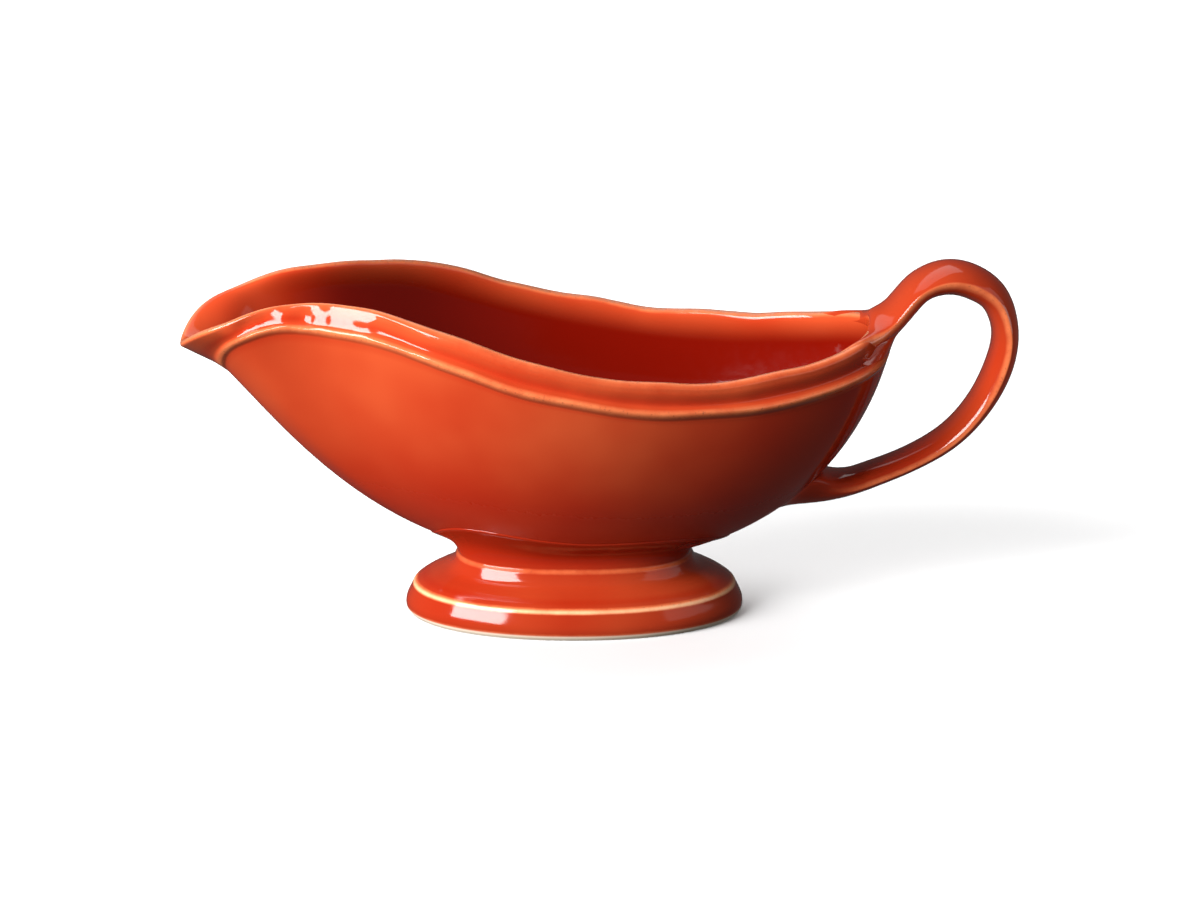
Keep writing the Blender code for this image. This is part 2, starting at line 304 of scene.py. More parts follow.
# On the strap they go round it by angle: strength of the pale edges, how far past its sides their
# centres lie on the inner face, and their half width. They die out towards the lower end, which
# is counted in lengths of the lower root.
EDGE_THIN, EDGE_INSET, EDGE_HALF = 0.7, 0.1, 0.42
EDGE_FADE = (0.4, 1.3)
# Painted shade over the whole handle
HANDLE_SHADE = 0.5


def unit(vectors):
    return vectors / np.linalg.norm(vectors, axis=-1)[..., None]


def column(values):
    return values[:, None]


def blend(a, b, share):
    return a + (b - a) * share


def smooth_step(value, start, end):
    share = np.clip((value - start) / (end - start), 0.0, 1.0)
    return share * share * (3.0 - 2.0 * share)


def bump(value, centre, width):
    """A smooth hill of height 1 at the centre, falling to 0 a width away."""
    return np.cos(np.clip(np.abs(value - centre) / width, 0.0, 1.0) * math.pi) * 0.5 + 0.5


def belt(value, strength, centre, width):
    """A stripe of glaze that is strongest at its centre."""
    return strength * bump(value, centre, width)


def ripple(points, wave):
    """Smooth hand-made unevenness, between about -1 and 1, with the given wave length in mm."""
    cell = wave * CELLS_IN_A_WAVE
    return np.array([noise.noise(Vector(point) / cell) * 2.0 for point in points])


def bezier(a, b, c, d, share):
    left = 1 - share
    return a * left ** 3 + b * 3 * share * left ** 2 + c * 3 * share * share * left + d * share ** 3


def hermite(a, leave, b, arrive, share):
    """A point between a and b on the curve that has the given slopes at its ends."""
    left = 1 - share
    return (a * left ** 2 * (1 + 2 * share) + leave * share * left ** 2
            + b * share * share * (3 - 2 * share) + arrive * share * share * (share - 1))


def shares(count):
    """Even shares from just above 0 to 1."""
    return np.linspace(0.0, 1.0, count + 1)[1:]


def closed_spline(points, count):
    """Smooth closed curve (second derivative continuous) through the points, at even spacing."""
    points = np.asarray(points, float)
    number = len(points)
    chords = np.linalg.norm(np.roll(points, -1, 0) - points, axis=1)
    knots = np.concatenate([[0.0], np.cumsum(chords)])
    system = np.zeros((number, number))
    right = np.zeros_like(points)
    for i in range(number):
        before, after = chords[i - 1], chords[i]
        system[i, (i - 1) % number] += before
        system[i, i] += 2.0 * (before + after)
        system[i, (i + 1) % number] += after
        rise_after = (points[(i + 1) % number] - points[i]) / after
        rise_before = (points[i] - points[i - 1]) / before
        right[i] = 6.0 * (rise_after - rise_before)
    bends = np.linalg.solve(system, right)

    def at(place):
        place = np.mod(place, knots[-1])
        k = np.clip(np.searchsorted(knots, place, side="right") - 1, 0, number - 1)
        width = chords[k][:, None]
        a = (knots[k + 1] - place)[:, None]
        b = (place - knots[k])[:, None]
        nxt = (k + 1) % number
        return (bends[k] * a ** 3 / (6 * width) + bends[nxt] * b ** 3 / (6 * width)
                + (points[k] / width - bends[k] * width / 6) * a
                + (points[nxt] / width - bends[nxt] * width / 6) * b)

    fine = np.linspace(0.0, knots[-1], LENGTH_STEPS + 1)
    steps = np.linalg.norm(np.diff(at(fine), axis=0), axis=1)
    length = np.concatenate([[0.0], np.cumsum(steps)])
    return at(np.interp(np.arange(count) / count * length[-1], length, fine))


def open_spline(points, count):
    """Catmull-Rom curve through the rows of points, evenly spaced in the row number."""
    points = np.asarray(points, float)
    padded = np.vstack([2 * points[0] - points[1], points, 2 * points[-1] - points[-2]])
    places = np.linspace(0.0, len(points) - 1.0, count)
    k = np.minimum(places.astype(int), len(points) - 2)
    t = (places - k)[:, None]
    a, b, c, d = padded[k], padded[k + 1], padded[k + 2], padded[k + 3]
    return 0.5 * (2 * b + (c - a) * t + (2 * a - 5 * b + 4 * c - d) * t * t
                  + (3 * b - a - 3 * c + d) * t ** 3)


def ring_normals(rings):
    """Unit normals of a stack of closed rings, pointing away from the bowl's inside."""
    along = np.roll(rings, -1, 1) - np.roll(rings, 1, 1)
    across = np.gradient(rings, axis=0)
    normals = unit(np.cross(across, along))
    if np.sum(normals[len(rings) // 2, :, 2]) > 0.0:
        normals = -normals
    return normals


def flattened(ways, normals):
    """The ways turned level with the surfaces that have these normals."""
    return unit(ways - normals * np.sum(ways * normals, axis=1)[:, None])


def skin(rings, first_pole=None, last_pole=None, closed=False):
    """Vertices and quads of a stack of rings, ended by poles or joined end to start."""
    rings = np.asarray(rings)
    layers, count = rings.shape[:2]
    verts = [tuple(point) for ring in rings for point in ring]
    faces = []
    for i in range(layers if closed else layers - 1):
        a, b = i * count, ((i + 1) % layers) * count
        for j in range(count):
            k = (j + 1) % count
            faces.append((a + j, a + k, b + k, b + j))
    for pole, start in ((first_pole, 0), (last_pole, (layers - 1) * count)):
        if pole is not None:
            verts.append(tuple(pole))
            for j in range(count):
                faces.append((start + j, start + (j + 1) % count, len(verts) - 1))
    return verts, faces


def make_piece(name, verts, faces, paint, material):
    """One closed mesh in world metres, with its glaze values stored on the points."""
    placed = [(x * MM + FOOT_X, y * MM, z * MM) for x, y, z in verts]
    mesh = bpy.data.meshes.new(name)
    mesh.from_pydata(placed, [], faces)
    work = bmesh.new()
    work.from_mesh(mesh)
    bmesh.ops.recalc_face_normals(work, faces=work.faces)
    if work.calc_volume(signed=True) < 0.0:
        bmesh.ops.reverse_faces(work, faces=work.faces)
    work.to_mesh(mesh)
    work.free()
    for key, values in paint.items():
        layer = mesh.attributes.new(key, "FLOAT", "POINT")
        full = np.zeros(len(mesh.vertices))
        full[:len(values)] = values
        layer.data.foreach_set("value", full)
    mesh.shade_smooth()
    mesh.materials.append(material)
    piece = bpy.data.objects.new(name, mesh)
    bpy.context.scene.collection.objects.link(piece)
    return piece


# ---------------------------------------------------------------- bowl

def bowl_stations(count):
    """Crest, bead and knee of the bowl at stations evenly spaced round the rim."""
    half = np.array(BOWL_SIDE)
    mirrored = half[-2:0:-1] * np.tile(MIRROR, 3)
    stations = closed_spline(np.vstack([half, mirrored]), count)
    return stations[:, :3], stations[:, 3:6], stations[:, 6:]


class Rim:
    """The lines round the bowl's rim and the directions there, with one row for each station."""

    def __init__(self, count):
        crest, bead, self.knee = bowl_stations(count)
        x, aside = crest[:, 0], np.abs(crest[:, 1])
        self.calm = (1.0 - smooth_step(-x, *CALM_TIP)) * (1.0 - smooth_step(x, *CALM_HANDLE))
        self.crest = crest + column(ripple(crest, CREST_WAVE) * self.calm * RIM_WAVER) * UP
        waver = column(ripple(self.crest, BEAD_WAVE) * self.calm * RIM_WAVER)
        self.bead = bead + waver * UP * BEAD_WAVER_SHARE

        along = unit(np.roll(self.crest, -1, 0) - np.roll(self.crest, 1, 0))
        self.up = flattened(self.crest - self.bead, along)
        self.out = np.cross(self.up, along)

        self.at_spout = column(smooth_step(-x, *SPOUT))
        self.wall = column(blend(WALL, TIP_WALL, smooth_step(-x, *TIP_THINS)))
        self.lip_round = blend(self.wall / 2, SPOUT_LIP_ROUND, self.at_spout)
        self.lip_edge = self.crest - self.up * self.lip_round + self.out * self.lip_round
        ends = np.where(x > 0.0, bump(aside, 0.0, ROOT_FADE), bump(aside, 0.0, TIP_FADE))
        self.relief_share = column(1.0 - ends)


def plain_wall(rim):
    """Rings of the wall from near the middle of the floor up to the bead, without the band."""
    way = unit((rim.knee - BOWL_MIDDLE) * (1.0, 1.0, 0.0))
    length = np.where(way[:, 0] < 0.0, HIP_SPOUT, HIP_REAR)
    hip = BOWL_MIDDLE + way / column(np.hypot(way[:, 0] / length, way[:, 1] / HIP_SIDE))
    steps = 1.0 - (1.0 - np.arange(1, WALL_RINGS + 1) / WALL_RINGS) ** WALL_CROWDING
    return np.array([bezier(BOWL_MIDDLE, hip, rim.knee, rim.bead, step) for step in steps])


def band_profile(reach):
    """How far the band stands out where it is fullest, at a reach above the bead, in mm."""
    if reach <= 0.0:
        return BEAD_PROUD * (0.5 + 0.5 * math.cos(math.pi * min(-reach / BEAD_HALF, 1.0)))
    if reach < COVE_REACH:
        return blend(-COVE_DEPTH, BEAD_PROUD, 0.5 + 0.5 * math.cos(math.pi * reach / COVE_REACH))
    rise = min((reach - COVE_REACH) / (SHOULDER_REACH - COVE_REACH), 1.0)
    return -COVE_DEPTH * (0.5 + 0.5 * math.cos(math.pi * rise))


def band_relief(rim, reach):
    """How far the band stands out at each station."""
    profile = band_profile(reach)
    spout_share = SPOUT_COVE if profile < 0.0 else SPOUT_BEAD
    return rim.relief_share * profile * blend(1.0, spout_share, rim.at_spout)


def outer_rings(rim, plain, normals, depth):
    """Rings from the middle of the underside over the bead, the band and the lip to its crest.

    Each ring comes with its reach."""
    def band_side(run):
        return unit(blend(normals[-1], rim.out, float(smooth_step(run, *BAND_LEAN))))

    kept = int(np.sum(depth > BEAD_HALF + BEAD_MARGIN))
    rings = list(plain[:kept])
    reach = list(-depth[:kept])
    below = unit(plain[-3] - plain[-1])
    quarter = np.cos(np.linspace(0.0, math.pi / 2, BEAD_RINGS))
    for run in np.concatenate([[-BEAD_HALF - BEAD_MARGIN / 2], -BEAD_HALF * quarter]):
        rings.append(rim.bead - below * run + band_side(run) * band_relief(rim, run))
        reach.append(run)

    span = np.linalg.norm(rim.lip_edge - rim.bead, axis=1).mean()
    lumps = column(ripple(rim.crest + LUMP_FIELD, LUMP_WAVE) * rim.calm * BAND_LUMPS)
    lumps = lumps * blend(LUMPS_AWAY_FROM_SPOUT, 1.0, rim.at_spout)
    for share in shares(BAND_RINGS):
        run = share * span
        raised = lumps * math.sin(math.pi * share) + band_relief(rim, run)
        rings.append(blend(rim.bead, rim.lip_edge, share) + band_side(run) * raised)
        reach.append(run)

    for angle in shares(LIP_RINGS) * math.pi / 2:
        rings.append(rim.crest - rim.up * rim.lip_round * (1.0 - math.sin(angle))
                     + rim.out * rim.lip_round * math.cos(angle))
        reach.append(span + WALL / 2 * angle)
    return rings, reach


def inner_rings(rim, plain, normals, depth):
    """Rings from the lip's crest down the inside to its middle, a wall away from the outside."""
    thinning = 1.0 - BELT_THINS_BY * bump(depth, *BELT_THINS)[:, None, None]
    inner = plain - normals * rim.wall * thinning
    start = int(np.sum(depth > INNER_DEPTH))
    collar = rim.bead - unit(normals[-1] + rim.out) * rim.wall
    slope = (inner[start] - rim.crest) / 2
    down = -unit(inner[start] - inner[start - 2]) * column(np.linalg.norm(slope, axis=1))
    over_the_lip = (rim.crest, -rim.out * rim.wall * LIP_SWING, collar, slope)
    down_the_wall = (collar, slope, inner[start], down)
    rings = [hermite(*curve, share)
             for curve in (over_the_lip, down_the_wall) for share in shares(INNER_RINGS)]
    return rings + list(inner[start - 1::-1])


def bowl_rings(rim):
    """All rings of the bowl from the middle of the underside to the middle of the inside.

    They come with their reach over the surface from the bead, and with the crest's reach."""
    plain = plain_wall(rim)
    normals = ring_normals(plain)
    depth = np.linalg.norm(plain - plain[-1], axis=2).mean(axis=1)
    rings, reach = outer_rings(rim, plain, normals, depth)
    top = reach[-1]
    for ring in inner_rings(rim, plain, normals, depth):
        reach.append(reach[-1] + np.linalg.norm(ring - rings[-1], axis=1).mean())
        rings.append(ring)
    return np.array(rings), np.array(reach), top


def make_bowl(material):
    rings, reach, top = bowl_rings(Rim(AROUND))
    past_crest = reach - top
    outer = reach <= top
    thin_lip = np.where(outer, belt(past_crest, *LIP_THIN_OUTSIDE), belt(past_crest, *LIP_THIN_INSIDE))
    thin_band = BAND_THIN * smooth_step(reach, BAND_THIN_FROM, top + BAND_THIN_TO) * outer
    thin = np.max([belt(reach, *BEAD_THIN), thin_lip, thin_band], axis=0)
    worn = np.where(outer, belt(past_crest, *LIP_WORN_OUTSIDE), belt(past_crest, *LIP_WORN_INSIDE))
    # The pool paint holds glaze pooling in the cove and painted shade under the bead and low on the
    # underside
    pool_and_shade = belt(reach, *SHADE_UNDER_BEAD) + belt(reach, *POOL_IN_COVE)
    pool_and_shade = np.maximum(pool_and_shade, SHADE_LOW * smooth_step(-reach, *SHADE_LOW_SLOPE))
    # Painted shade on the inside
    inside = smooth_step(past_crest, *INSIDE_SHADE_SLOPE)
    dull = smooth_step(-reach, *DULL_SLOPE)

    paint = {"thin": thin, "worn": worn, "pool_and_shade": pool_and_shade, "inside": inside, "dull": dull}
    paint = {key: np.repeat(np.clip(value, 0.0, 1.0), AROUND) for key, value in paint.items()}
    x = rings[:, :, 0].ravel()
    # The inside's painted shade is weaker towards the spout
    paint["inside"] *= 1.0 - SPOUT_PALER * smooth_step(-x, *SPOUT_PALER_SLOPE)
    # Painted shade towards the handle, below the bead
    below_bead = np.repeat(reach < SHADE_REAR_BELOW, AROUND)
    rear_shade = SHADE_REAR * smooth_step(x, *SHADE_REAR_SLOPE) * below_bead
    paint["pool_and_shade"] = np.maximum(paint["pool_and_shade"], rear_shade)
    verts, faces = skin(rings, BOWL_MIDDLE, BOWL_MIDDLE + UP * WALL)
    return make_piece("bowl_glazed", verts, faces, paint, material)


# ---------------------------------------------------------------- foot

def oval(height, half_length, half_width):
    """One ring of the foot: a soft-cornered oval, squarer at the neck than at the base."""
    angles = np.arange(FOOT_SIDES) / FOOT_SIDES * FULL_TURN
    squarer = smooth_step(height, *SQUARER_HEIGHTS)
    power = 2.0 / blend(FOOT_SQUARENESS, NECK_SQUARENESS, squarer)
    x = half_length * np.sign(np.cos(angles)) * np.abs(np.cos(angles)) ** power
    y = half_width * np.sign(np.sin(angles)) * np.abs(np.sin(angles)) ** power
    return np.stack([x, y, np.full(FOOT_SIDES, height)], axis=1)


def tree_of(piece):
    """Search tree of a piece's surface, in mm from the foot's centre."""
    mesh = piece.data
    verts = [Vector(((v.co.x - FOOT_X) / MM, v.co.y / MM, v.co.z / MM)) for v in mesh.vertices]
    return BVHTree.FromPolygons(verts, [tuple(p.vertices) for p in mesh.polygons])


def turned(points, degrees):
    """The points swung about the upright through the foot's middle."""
    sine, cosine = math.sin(math.radians(degrees)), math.cos(math.radians(degrees))
    x, y, z = points[..., 0], points[..., 1], points[..., 2]
    return np.stack([x * cosine - y * sine, x * sine + y * cosine, z], axis=-1)


def on_underside(ring, bowl_tree):
    """The ring's points moved up onto the bowl's underside, with the surface's normals there."""
    hits = [bowl_tree.ray_cast(Vector((x, y, BELOW_TABLE)), Vector(UP)) for x, y, _ in ring]
    return np.array([tuple(hit[0]) for hit in hits]), np.array([tuple(hit[1]) for hit in hits])


def neck_rings(start, rise, bowl_tree):
    """Rings from the foot's top ring out onto the bowl, over the seam and under its surface."""
    middle, half_length, half_width = NECK_LANDING
    landing_oval = oval(NECK_HEIGHT, half_length, half_width) + (middle, 0.0, 0.0)
    landing, normals = on_underside(landing_oval, bowl_tree)
    landing = landing + normals * SEAM_STEP
    gap = column(np.linalg.norm(landing - start, axis=1))
    away = flattened(landing - start, normals)
    near = start + rise * gap * NECK_LEAD
    far = landing - away * gap * NECK_SWEEP
    edge = landing - normals * SEAM_STEP * SEAM_EDGE + away * SEAM_STEP
    sunk = landing - normals * SEAM_SUNK + away * SEAM_STEP
    return [bezier(start, near, far, landing, share) for share in shares(NECK_RINGS)] + [edge, sunk]


def make_foot(bowl_tree, material):
    profile = FOOT_OUTSIDE + (FOOT_SEAT,) + FOOT_INSIDE
    rows = open_spline(profile, (len(profile) - 1) * FOOT_RINGS_PER_ROW + 1)
    rows[:, 0] = np.maximum(rows[:, 0], 0.0)
    rings = turned(np.array([oval(*row) for row in rows]), FOOT_TWIST)
    neck = neck_rings(rings[0], unit(rings[0] - rings[1]), bowl_tree)
    hollow_top, normals = on_underside(oval(*HOLLOW_TOP), bowl_tree)
    stack = np.array(neck[::-1] + list(rings) + [hollow_top - normals * HOLLOW_SUNK])

    heights = np.concatenate([[OUT_OF_REACH] * len(neck), rows[:, 0], [OUT_OF_REACH]])
    outside = np.arange(len(stack)) < len(neck) + len(FOOT_OUTSIDE) * FOOT_RINGS_PER_ROW
    thin = belt(heights, *STEP_THIN) + belt(heights, *NECK_THIN) + belt(heights, *BOTTOM_THIN)
    # Painted shade over the whole foot and more up its neck; the skirt's belt is glaze pooling in its
    # hollow
    pool_and_shade = FOOT_SHADE + NECK_SHADE * smooth_step(heights, *NECK_SHADE_SLOPE) + belt(heights, *SKIRT_POOL)
    pale = belt(heights, *STEP_PALE)
    bare = smooth_step(-heights, *BARE_BELOW)
    paint = {"thin": thin * outside, "bare": bare, "pool_and_shade": pool_and_shade, "pale": pale * outside}
    paint = {key: np.repeat(np.clip(value, 0.0, 1.0), FOOT_SIDES) for key, value in paint.items()}
    verts, faces = skin(stack, closed=True)
    return make_piece("foot_glazed", verts, faces, paint, material)


# ---------------------------------------------------------------- handle

def strap_section(angles, width, thick):
    """Side and lift of the strap's section: a low arc outside, a fuller curve inside."""
    sine, cosine = np.sin(angles), np.cos(angles)
    crown = (1.0 - cosine ** 2) ** OUTER_POWER * thick * STRAP_CROWN
    belly = -(1.0 - np.abs(cosine) ** INNER_POWER) ** 0.5 * thick * (1.0 - STRAP_CROWN)
    lift = np.where(sine > 0.0, crown, belly) + thick * (0.5 - STRAP_CROWN)
    return cosine * width / 2, lift


def rounded(curve, rounds):
    """A closed curve of points or directions with its small wrinkles averaged out."""
    for _ in range(rounds):
        curve = (np.roll(curve, 1, 0) + 2 * curve + np.roll(curve, -1, 0)) / 4
    return curve


def root_landing(landing_rows, angles, bowl_tree):
    """The root's outline laid on the bowl, one point for each angle, with the normals there."""
    half = np.array(landing_rows)
    whole = open_spline(np.vstack([half, half[-2:0:-1] * MIRROR, half[:1]]), ROOT_OUTLINE_STEPS + 1)
    steps = np.arange(ROOT_OUTLINE_STEPS + 1)
    places = np.mod(0.25 - angles / FULL_TURN, 1.0) * ROOT_OUTLINE_STEPS
    guesses = np.stack([np.interp(places, steps, whole[:, axis]) for axis in range(3)], axis=1)
    spots = [bowl_tree.find_nearest(Vector(guess)) for guess in guesses]
    landing = rounded(np.array([tuple(spot[0]) for spot in spots]), LANDING_SMOOTHING)
    normals = rounded(np.array([tuple(spot[1]) for spot in spots]), NORMAL_SMOOTHING)
    return landing, unit(normals)


def root_rings(start, way, landing_rows, lead, sweeps, angles, bowl_tree):
    """Rings that carry the strap's end onto the bowl, landing level with its surface."""
    landing, normals = root_landing(landing_rows, angles, bowl_tree)
    centre = landing.mean(axis=0)
    gap = column(np.linalg.norm(landing - start, axis=1))
    approach = flattened(start - landing, normals)
    outer, edge, inner = sweeps
    sweep = blend(edge, inner, smooth_step(-np.sin(angles), 0.0, 1.0))
    sweep = column(blend(sweep, outer, smooth_step(np.sin(angles), OUTER_SWEEP_FROM, 1.0)))
    near = start + way * gap * lead
    far = landing + approach * gap * sweep
    rings = [bezier(start, near, far, landing, share) for share in shares(ROOT_RINGS)]
    rings[-1] = landing - normals * ROOT_END_SUNK

    def buried(point, sink):
        spot, normal, _, _ = bowl_tree.find_nearest(Vector(point))
        return np.array(spot) - np.array(normal) * sink

    for share, sink in ROOT_CLOSURE:
        rings.append(np.array([buried(point, sink) for point in blend(landing, centre, share)]))
    return rings, buried(centre, ROOT_POLE_SUNK)


def make_handle(bowl_tree, material):
    angles = np.arange(STRAP_SIDES) / STRAP_SIDES * FULL_TURN
    line = open_spline(HANDLE_LINE, STRAP_RINGS)
    for _ in range(STRAP_SMOOTHING):
        line[1:-1] = (line[:-2] + 2 * line[1:-1] + line[2:]) / 4
    slopes = unit(np.gradient(line[:, :2], axis=0))
    forward = np.stack([slopes[:, 0], np.zeros(STRAP_RINGS), slopes[:, 1]], axis=1)
    rings = []
    for (x, z, width, thick), (along_x, _, along_z) in zip(line, forward):
        outward = np.array([-along_z, 0.0, along_x])
        side, lift = strap_section(angles, width, thick)
        rings.append(np.array([x, 0.0, z]) + outward * column(lift) + ACROSS * column(side))

    upper, upper_pole = root_rings(rings[0], -forward[0], UPPER_LANDING, UPPER_LEAD,
                                   UPPER_SWEEPS, angles, bowl_tree)
    lower, lower_pole = root_rings(rings[-1], forward[-1], LOWER_LANDING, LOWER_LEAD,
                                   LOWER_SWEEPS, angles, bowl_tree)
    stack = np.array(upper[::-1] + rings + lower)

    places = (-EDGE_INSET, math.pi + EDGE_INSET, FULL_TURN - EDGE_INSET)
    edges = np.max([belt(angles, EDGE_THIN, place, EDGE_HALF) for place in places], axis=0)
    roots_to_end = (len(stack) - np.arange(len(stack))) / len(lower)
    thin = column(smooth_step(roots_to_end, *EDGE_FADE)) * edges
    # The handle gets an even painted shade
    paint = {"thin": thin.ravel(), "pool_and_shade": np.full(thin.size, HANDLE_SHADE)}
    verts, faces = skin(stack, upper_pole, lower_pole)
    return make_piece("handle_glazed", verts, faces, paint, material)


# ---------------------------------------------------------------- glaze

# Dark glaze, which is also the colour of the painted shade
DEEP_AND_SHADE = (0.44, 0.012, 0.002)
MID = (0.61, 0.084, 0.024)
# Painted shade of the inside
INSIDE_SHADE = (0.175, 0.004, 0.001)
THIN = (0.82, 0.21, 0.075)
WORN = (0.42, 0.15, 0.08)
SPOT = (0.20, 0.05, 0.03)
PALE = (0.95, 0.56, 0.30)
CLAY = (0.90, 0.74, 0.58)

# Noise in the glaze: cells in a metre, detail and roughness
DRIFTS = (28.0, 2.0, 0.5)
RIPPLES = (90.0, 2.0, 0.5)
STREAKS = (160.0, 4.0, 0.65)
GRAIN = (420.0, 3.0, 0.6)
SPECKS = (1500.0, 1.0, 0.5)

# Spans that turn noise and paint into shares and roughness: low and high of what comes in, then
# of what comes out, which is 0 and 1 where it isn't given
DRIFT = (0.25, 0.75, 0.35, 1.0)
UNEVEN = (0.35, 0.65, 0.72, 1.15)
THIN_SPAN = (0.12, 0.95)
WORN_GRAIN = (0.3, 0.6, 0.55, 1.1)
WORN_SPAN = (0.2, 0.9, 0.0, 0.9)
SPECK_SPAN = (0.62, 0.72)
GLAZE_ROUGHNESS = (0.3, 0.7, 0.07, 0.12)

# How strongly pools with painted shade and specks colour the glaze, what paints add to its roughness,
# and its relief
POOL_AND_SHADE_DEPTH = 0.8
SPECK_STRENGTH = 0.5
WORN_ROUGHNESS = 0.22
BARE_ROUGHNESS = 0.6
DULL_ROUGHNESS = 0.3
GLAZE_IOR = 1.5
GLAZE_SPECULAR = 0.36
RELIEF_STRENGTH = 0.16
RELIEF_DEPTH = 0.0004
GRAIN_IN_RELIEF = 0.12

# How bright the glaze's colour is on each piece, where 1 is the bowl's: the foot and the handle get
# darker copies of it as painted shade
BOWL_TONE, FOOT_SHADE_TONE, HANDLE_SHADE_TONE = 1.0, 0.75, 0.78


class Nodes:
    """Short ways to add the shader nodes that the glaze is made of."""

    def __init__(self, tree):
        self.tree = tree
        self.place = tree.nodes.new("ShaderNodeTexCoord").outputs["Object"]

    def plug(self, socket, value):
        """Links a socket to another node's output, or sets it to a colour or a number."""
        if isinstance(value, bpy.types.NodeSocket):
            self.tree.links.new(value, socket)
        elif isinstance(value, tuple):
            socket.default_value = (*value, 1.0)
        else:
            socket.default_value = value

    def attribute(self, key):
        node = self.tree.nodes.new("ShaderNodeAttribute")
        node.attribute_name = key
        return node.outputs["Fac"]

    def cloud(self, scale, detail, rough):
        node = self.tree.nodes.new("ShaderNodeTexNoise")
        self.plug(node.inputs["Scale"], scale)
        self.plug(node.inputs["Detail"], detail)
        self.plug(node.inputs["Roughness"], rough)
        self.plug(node.inputs["Vector"], self.place)
        return node.outputs["Fac"]

    def span(self, value, low, high, to_low=0.0, to_high=1.0):
        node = self.tree.nodes.new("ShaderNodeMapRange")
        self.plug(node.inputs["From Min"], low)
        self.plug(node.inputs["From Max"], high)
        self.plug(node.inputs["To Min"], to_low)
        self.plug(node.inputs["To Max"], to_high)
        self.plug(node.inputs["Value"], value)
        return node.outputs["Result"]

    def maths(self, operation, a, b):
        """A sum or product of two values, held between 0 and 1."""
        node = self.tree.nodes.new("ShaderNodeMath")
        node.operation = operation
        node.use_clamp = True
        self.plug(node.inputs[0], a)
        self.plug(node.inputs[1], b)
        return node.outputs["Value"]

    def times(self, a, b):
        return self.maths("MULTIPLY", a, b)

    def plus(self, a, b):
        return self.maths("ADD", a, b)

    def mix(self, share, a, b):
        """Colour a where the share is 0, colour b where it is 1."""
        node = self.tree.nodes.new("ShaderNodeMix")
        node.data_type = "RGBA"
        self.plug(node.inputs["Factor"], share)
        self.plug(node.inputs[6], a)
        self.plug(node.inputs[7], b)
        return node.outputs[2]

    def relief(self, height):
        """Normals of the surface with small heights on it."""
        node = self.tree.nodes.new("ShaderNodeBump")
        self.plug(node.inputs["Strength"], RELIEF_STRENGTH)
        self.plug(node.inputs["Distance"], RELIEF_DEPTH)
        self.plug(node.inputs["Height"], height)
        return node.outputs["Normal"]


def glaze_colour(nodes, tone, worn, bare):
    """Colour that pools dark in hollows, is painted darker where shade falls, thins to pale over edges
    and ends in bare clay.
    """
    deep_and_shade = tuple(part * tone for part in DEEP_AND_SHADE)
    mid = tuple(part * tone for part in MID)
    colour = nodes.mix(nodes.span(nodes.cloud(*DRIFTS), *DRIFT), deep_and_shade, mid)
    # Pools of glaze and painted shade both darken it
    colour = nodes.mix(nodes.times(nodes.attribute("pool_and_shade"), POOL_AND_SHADE_DEPTH), colour, deep_and_shade)
    # The inside is painted in shade
    colour = nodes.mix(nodes.attribute("inside"), colour, INSIDE_SHADE)
    uneven = nodes.span(nodes.cloud(*STREAKS), *UNEVEN)
    thin = nodes.times(nodes.attribute("thin"), uneven)
    colour = nodes.mix(nodes.span(thin, *THIN_SPAN), colour, THIN)
    colour = nodes.mix(nodes.span(worn, *WORN_SPAN), colour, WORN)
    specks = nodes.span(nodes.cloud(*SPECKS), *SPECK_SPAN)
    spots = nodes.times(nodes.times(specks, nodes.attribute("thin")), SPECK_STRENGTH)
    colour = nodes.mix(spots, colour, SPOT)
    colour = nodes.mix(nodes.times(nodes.attribute("pale"), uneven), colour, PALE)
    return nodes.mix(bare, colour, CLAY)


def glaze_roughness(nodes, grain, worn, bare):
    """Smooth glaze that is rougher where it is worn or dull, and roughest on bare clay."""
    rough = nodes.span(grain, *GLAZE_ROUGHNESS)
    rough = nodes.plus(rough, nodes.times(worn, WORN_ROUGHNESS))
    rough = nodes.plus(rough, nodes.times(bare, BARE_ROUGHNESS))
    return nodes.plus(rough, nodes.times(nodes.attribute("dull"), DULL_ROUGHNESS))


def glaze(name, tone):
    """Glossy glaze, steered by the values painted on a piece's points."""
    material = bpy.data.materials.new(name)
    material.use_nodes = True
    nodes = Nodes(material.node_tree)
    shader = material.node_tree.nodes["Principled BSDF"].inputs
    grain = nodes.cloud(*GRAIN)
    worn = nodes.times(nodes.attribute("worn"), nodes.span(grain, *WORN_GRAIN))
    bare = nodes.attribute("bare")
    height = nodes.plus(nodes.cloud(*RIPPLES), nodes.times(grain, GRAIN_IN_RELIEF))
    nodes.plug(shader["Base Color"], glaze_colour(nodes, tone, worn, bare))
    nodes.plug(shader["Roughness"], glaze_roughness(nodes, grain, worn, bare))
    nodes.plug(shader["Normal"], nodes.relief(height))
    nodes.plug(shader["IOR"], GLAZE_IOR)
    nodes.plug(shader["Specular IOR Level"], GLAZE_SPECULAR)
    return material


# ---------------------------------------------------------------- stage, light and camera

FLOOR_SIZE = 6.0
FLOOR_GREY = 0.80
FLOOR_ROUGHNESS = 0.9
WORLD_STRENGTH = 0.08

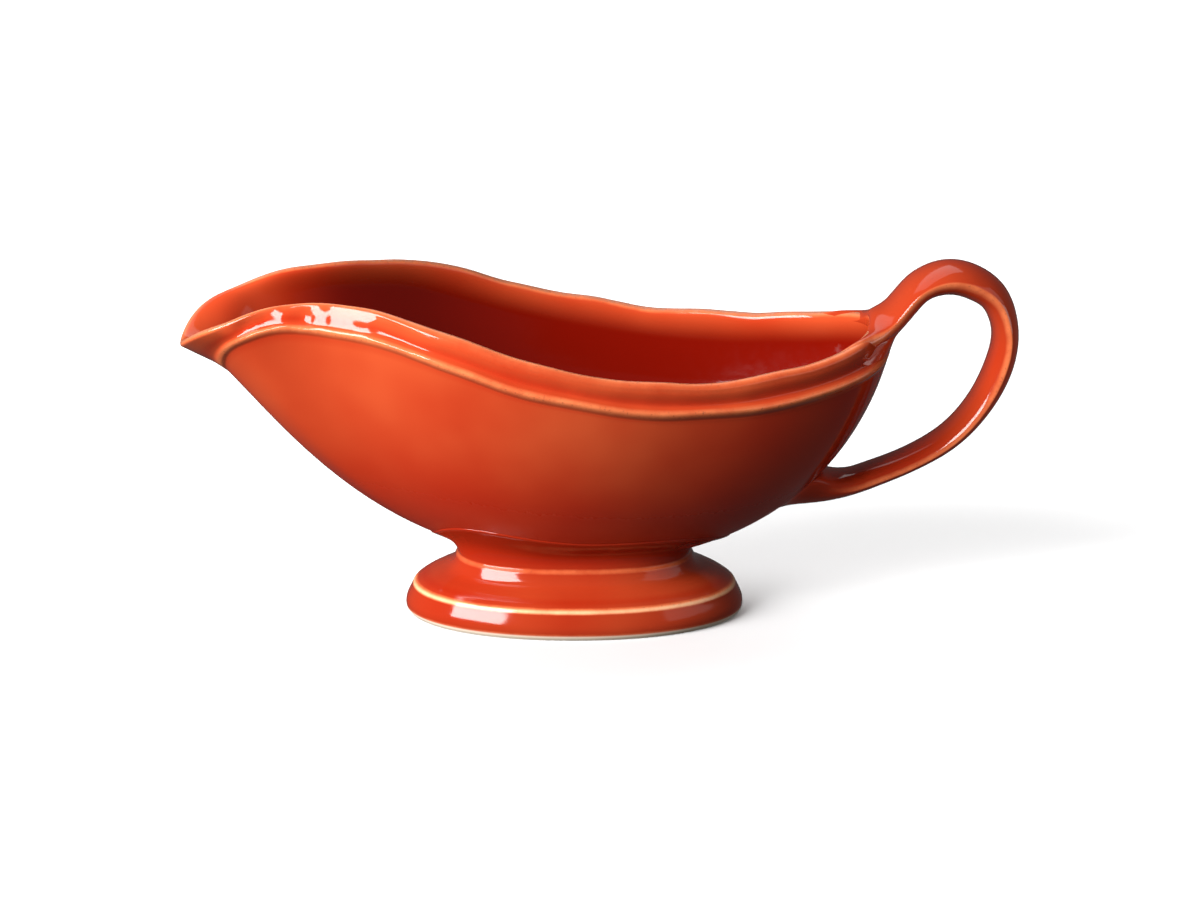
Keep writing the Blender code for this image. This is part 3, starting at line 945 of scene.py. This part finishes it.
# Each softbox: place and target in metres, width and height in metres, power in watts
KEY = ("key_left", (-1.14, -0.80, 0.80), (FOOT_X, 0.0, 0.05), 1.05, 0.8, 60.0)
FILL = ("fill_right", (1.35, -0.50, 0.86), (FOOT_X, 0.0, 0.05), 1.6, 0.8, 3.2)
TOP = ("top", (-0.3, 1.0, 1.5), (0.0, 0.5, 0.0), 1.8, 1.0, 7.0)
FLOOR_WASH = ("floor_wash", (0.0, 1.6, 1.8), (0.0, 0.9, 0.0), 4.0, 2.4, 90.0)
HANDLE_FILL = ("handle_fill", (1.2, -0.5, 0.12), (0.1, 0.0, 0.07), 1.2, 0.5, 5.0)

CAMERA_DISTANCE = 1.2
CAMERA_AROUND = -3.0
CAMERA_HEIGHT = 16.0
CAMERA_TARGET = (FOOT_X + 7.8 * MM, 0.0, 0.049)
CAMERA_LENS = 119.7
CAMERA_SENSOR = 36.0
CAMERA_REACH = 20.0


def make_floor():
    """Pale floor that neither shows in the glaze nor lights it."""
    bpy.ops.mesh.primitive_plane_add(size=FLOOR_SIZE, location=(0.0, 0.0, cad_box[0][2]))
    floor = bpy.context.object
    floor.name = "floor"
    material = bpy.data.materials.new("floor_white")
    material.use_nodes = True
    shader = material.node_tree.nodes["Principled BSDF"]
    shader.inputs["Base Color"].default_value = (FLOOR_GREY, FLOOR_GREY, FLOOR_GREY, 1.0)
    shader.inputs["Roughness"].default_value = FLOOR_ROUGHNESS
    floor.data.materials.append(material)
    floor.visible_glossy = False
    floor.visible_diffuse = False
    return floor


def aim(thing, target):
    way = Vector(target) - thing.location
    thing.rotation_euler = way.to_track_quat("-Z", "Y").to_euler()


def softbox(name, place, target, width, height, power):
    data = bpy.data.lights.new(name, "AREA")
    data.shape = "RECTANGLE"
    data.size = width
    data.size_y = height
    data.energy = power
    light = bpy.data.objects.new(name, data)
    bpy.context.scene.collection.objects.link(light)
    light.location = place
    aim(light, target)
    return light


def light_only(light, thing):
    """Keeps a light off everything but one thing."""
    lit = bpy.data.collections.new("lit_by_" + light.name)
    lit.objects.link(thing)
    light.light_linking.receiver_collection = lit


def make_light(floor, handle):
    world = bpy.data.worlds.new("studio")
    world.use_nodes = True
    background = world.node_tree.nodes["Background"]
    background.inputs["Color"].default_value = (1.0, 1.0, 1.0, 1.0)
    background.inputs["Strength"].default_value = WORLD_STRENGTH
    bpy.context.scene.world = world
    bpy.context.scene.view_settings.view_transform = "Standard"
    softbox(*KEY)
    softbox(*FILL)
    softbox(*TOP)
    light_only(softbox(*FLOOR_WASH), floor)
    light_only(softbox(*HANDLE_FILL), handle)


def make_camera():
    around, up = math.radians(CAMERA_AROUND), math.radians(CAMERA_HEIGHT)
    back = Vector((math.sin(around) * math.cos(up), -math.cos(around) * math.cos(up), math.sin(up)))
    data = bpy.data.cameras.new("camera")
    data.lens = CAMERA_LENS
    data.sensor_width = CAMERA_SENSOR
    data.clip_end = CAMERA_REACH
    camera = bpy.data.objects.new("camera", data)
    bpy.context.scene.collection.objects.link(camera)
    camera.location = Vector(CAMERA_TARGET) + back * CAMERA_DISTANCE
    aim(camera, CAMERA_TARGET)
    bpy.context.scene.camera = camera


def main():
    make_camera()
    bowl = make_bowl(glaze("bowl_glaze", BOWL_TONE))
    tree = tree_of(bowl)
    foot = make_foot(tree, glaze("foot_glaze", FOOT_SHADE_TONE))
    handle = make_handle(tree, glaze("handle_glaze", HANDLE_SHADE_TONE))
    make_light(make_floor(), handle)
    for piece, node in ((bowl, "bowl"), (foot, "foot"), (handle, "handle")):
        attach(piece, "root")
        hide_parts(node)


main()
